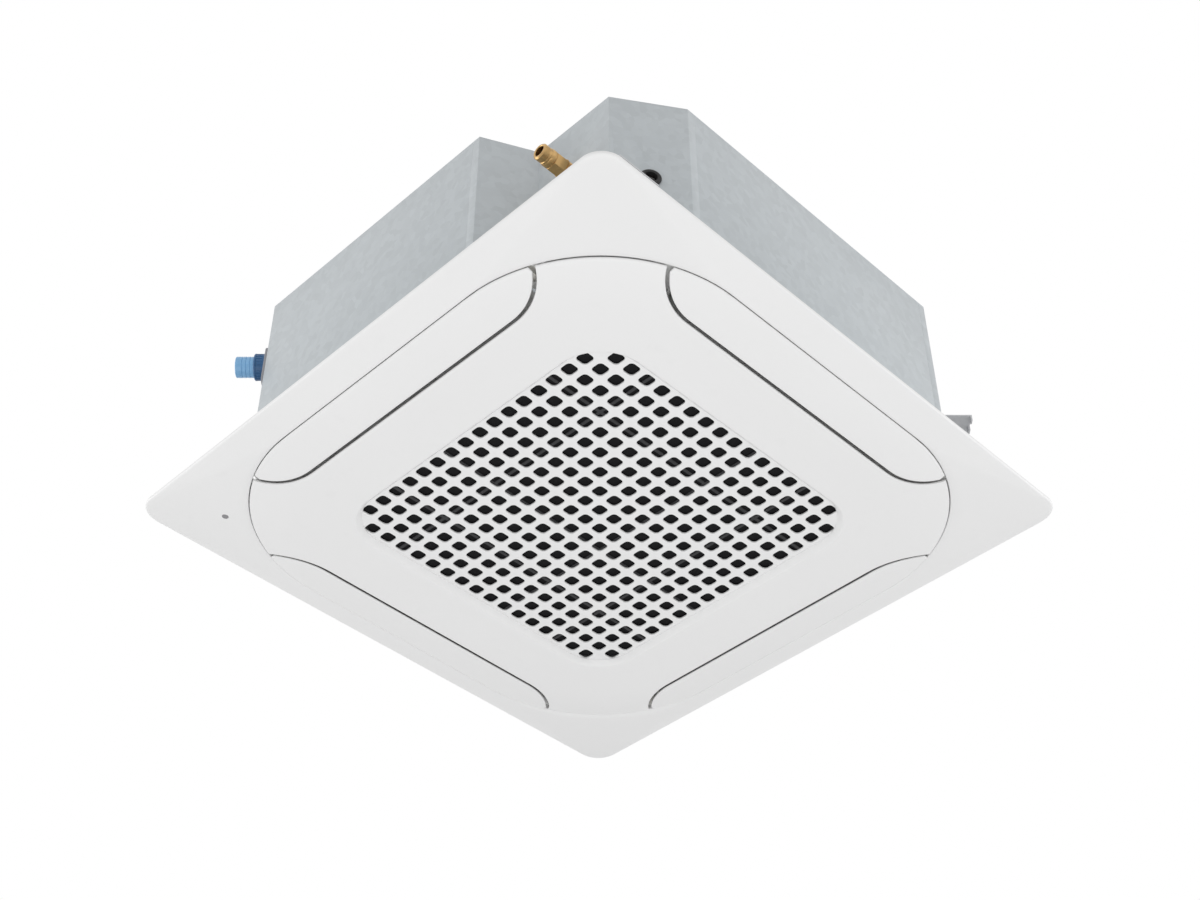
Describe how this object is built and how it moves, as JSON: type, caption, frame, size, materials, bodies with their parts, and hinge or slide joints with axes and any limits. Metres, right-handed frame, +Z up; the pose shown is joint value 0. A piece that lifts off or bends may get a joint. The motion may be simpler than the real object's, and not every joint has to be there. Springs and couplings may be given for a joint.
{
  "type": "ceiling cassette air conditioner",
  "caption": "Recessed four-way ceiling cassette air conditioner with a square panel, tilting air vanes, a swing-down square-hole grille, turbo fan, ring coil, drain pump and piping pocket",
  "frame": {"origin": "centre of the panel in the plane of the ceiling face that its rim lies on", "axes": "+Z up into the ceiling; -X is the side that the pipe unions face, the pipe pocket is at the -X -Y corner and the drain outlet at the -X +Y corner"},
  "size_m": [0.95, 0.95, 0.3525],
  "materials": {
    "galvanised": "galvanised sheet, fine spangle",
    "bracket_steel": "zinc plated",
    "screw_zinc": "zinc plated",
    "panel_white": "satin white",
    "vane_white": "satin white",
    "grille_white": "satin white",
    "inner_white": "matt",
    "foam_white": "expanded foam bead",
    "foam_black": "soft closed-cell foam",
    "net_black": "woven net",
    "filter_grey": "matt",
    "fin_aluminium": "thin fins",
    "copper": "drawn copper",
    "brass": "machined",
    "motor_steel": "satin",
    "shaft_steel": "ground",
    "rubber_black": "matt",
    "fan_white": "moulded",
    "board_green": "lacquered",
    "terminal_cream": "matt",
    "motor_cream": "matt",
    "spout_blue": "translucent blue",
    "collar_blue": "smooth",
    "flange_grey": "matt",
    "window_grey": "smoked",
    "hose_grey": "soft hose"
  },
  "bodies": {
    "body": {"side_sheet_east": "galvanised", "side_sheet_north": "galvanised", "side_sheet_west": "galvanised", "side_sheet_south": "galvanised", "pocket_sheet": "galvanised", "top_plate": "galvanised", "corner_plates": "bracket_steel", "hanger_brackets": "bracket_steel", "bracket_screws": "screw_zinc", "side_liner": "foam_white", "drain_pan": "foam_white", "bell_mouth": "inner_white", "bell_mouth_screws": "screw_zinc", "coil_fins": "fin_aluminium", "coil_end_plates": "galvanised", "coil_return_bends": "copper", "coil_corner_blank": "galvanised", "gas_header": "copper", "liquid_header": "copper", "gas_union": "brass", "liquid_union": "brass", "cable_grommet": "rubber_black", "drain_pump": "inner_white", "float_switch": "inner_white", "drain_hose": "hose_grey", "drain_spout": "spout_blue", "drain_collar": "collar_blue", "drain_flange": "flange_grey", "fan_motor_housing": "motor_steel", "fan_motor_bearings": "shaft_steel", "motor_rubber_bushes": "rubber_black", "motor_studs": "screw_zinc", "control_box": "galvanised", "control_box_lid": "galvanised", "circuit_board": "board_green", "terminal_block": "terminal_cream", "panel_frame": "panel_white", "receiver_window": "window_grey", "panel_back_plate": "inner_white", "grille_hinge_pins": "shaft_steel", "panel_bolts": "screw_zinc", "outlet_ducts": "foam_white", "suction_collar": "foam_white", "duct_gaskets": "foam_black", "vane_motors": "motor_cream"},
    "fan": {"fan_shaft": "shaft_steel", "fan_nut": "screw_zinc", "fan_wheel": "fan_white"},
    "vane_east": {"vane_east": "vane_white"},
    "vane_north": {"vane_north": "vane_white"},
    "vane_west": {"vane_west": "vane_white"},
    "vane_south": {"vane_south": "vane_white"},
    "grille": {"grille_panel": "grille_white", "grille_lattice": "grille_white"},
    "filter": {"filter_frame": "filter_grey", "filter_net": "net_black"},
    "catch_plunger_1": {"catch_plunger_1": "motor_cream"},
    "catch_plunger_2": {"catch_plunger_2": "motor_cream"},
    "pump_impeller": {"pump_impeller": "fan_white"},
    "float_ring": {"float_ring": "fan_white"}
  },
  "joints": [
    {"name": "fan_spin", "type": "hinge", "parent": "body", "child": "fan", "pos_m": [0, 0, 0.2], "axis": [0, 0, 1], "continuous": true},
    {"name": "vane_east_tilt", "type": "hinge", "parent": "body", "child": "vane_east", "pos_m": [0.394, 0, -0.0135], "axis": [0, 1, 0], "range_deg": [0, 45]},
    {"name": "vane_north_tilt", "type": "hinge", "parent": "body", "child": "vane_north", "pos_m": [0, 0.394, -0.0135], "axis": [-1, 0, 0], "range_deg": [0, 45]},
    {"name": "vane_west_tilt", "type": "hinge", "parent": "body", "child": "vane_west", "pos_m": [-0.394, 0, -0.0135], "axis": [0, -1, 0], "range_deg": [0, 45]},
    {"name": "vane_south_tilt", "type": "hinge", "parent": "body", "child": "vane_south", "pos_m": [0, -0.394, -0.0135], "axis": [1, 0, 0], "range_deg": [0, 45]},
    {"name": "grille_swing", "type": "hinge", "parent": "body", "child": "grille", "pos_m": [-0.411, 0, -0.011], "axis": [0, 1, 0], "range_deg": [0, 80]},
    {"name": "filter_lift", "type": "slide", "parent": "grille", "child": "filter", "axis": [0, 0, 1], "range_m": [0, 0.012]},
    {"name": "catch_1_press", "type": "slide", "parent": "body", "child": "catch_plunger_1", "axis": [0, 0, 1], "range_m": [0, 0.003], "stiffness_N_per_m": 300},
    {"name": "catch_2_press", "type": "slide", "parent": "body", "child": "catch_plunger_2", "axis": [0, 0, 1], "range_m": [0, 0.003], "stiffness_N_per_m": 300},
    {"name": "pump_spin", "type": "hinge", "parent": "body", "child": "pump_impeller", "pos_m": [-0.317, 0.317, 0.08], "axis": [0, 0, 1], "continuous": true},
    {"name": "float_lift", "type": "slide", "parent": "body", "child": "float_ring", "axis": [0, 0, 1], "range_m": [0, 0.008]}
  ]
}
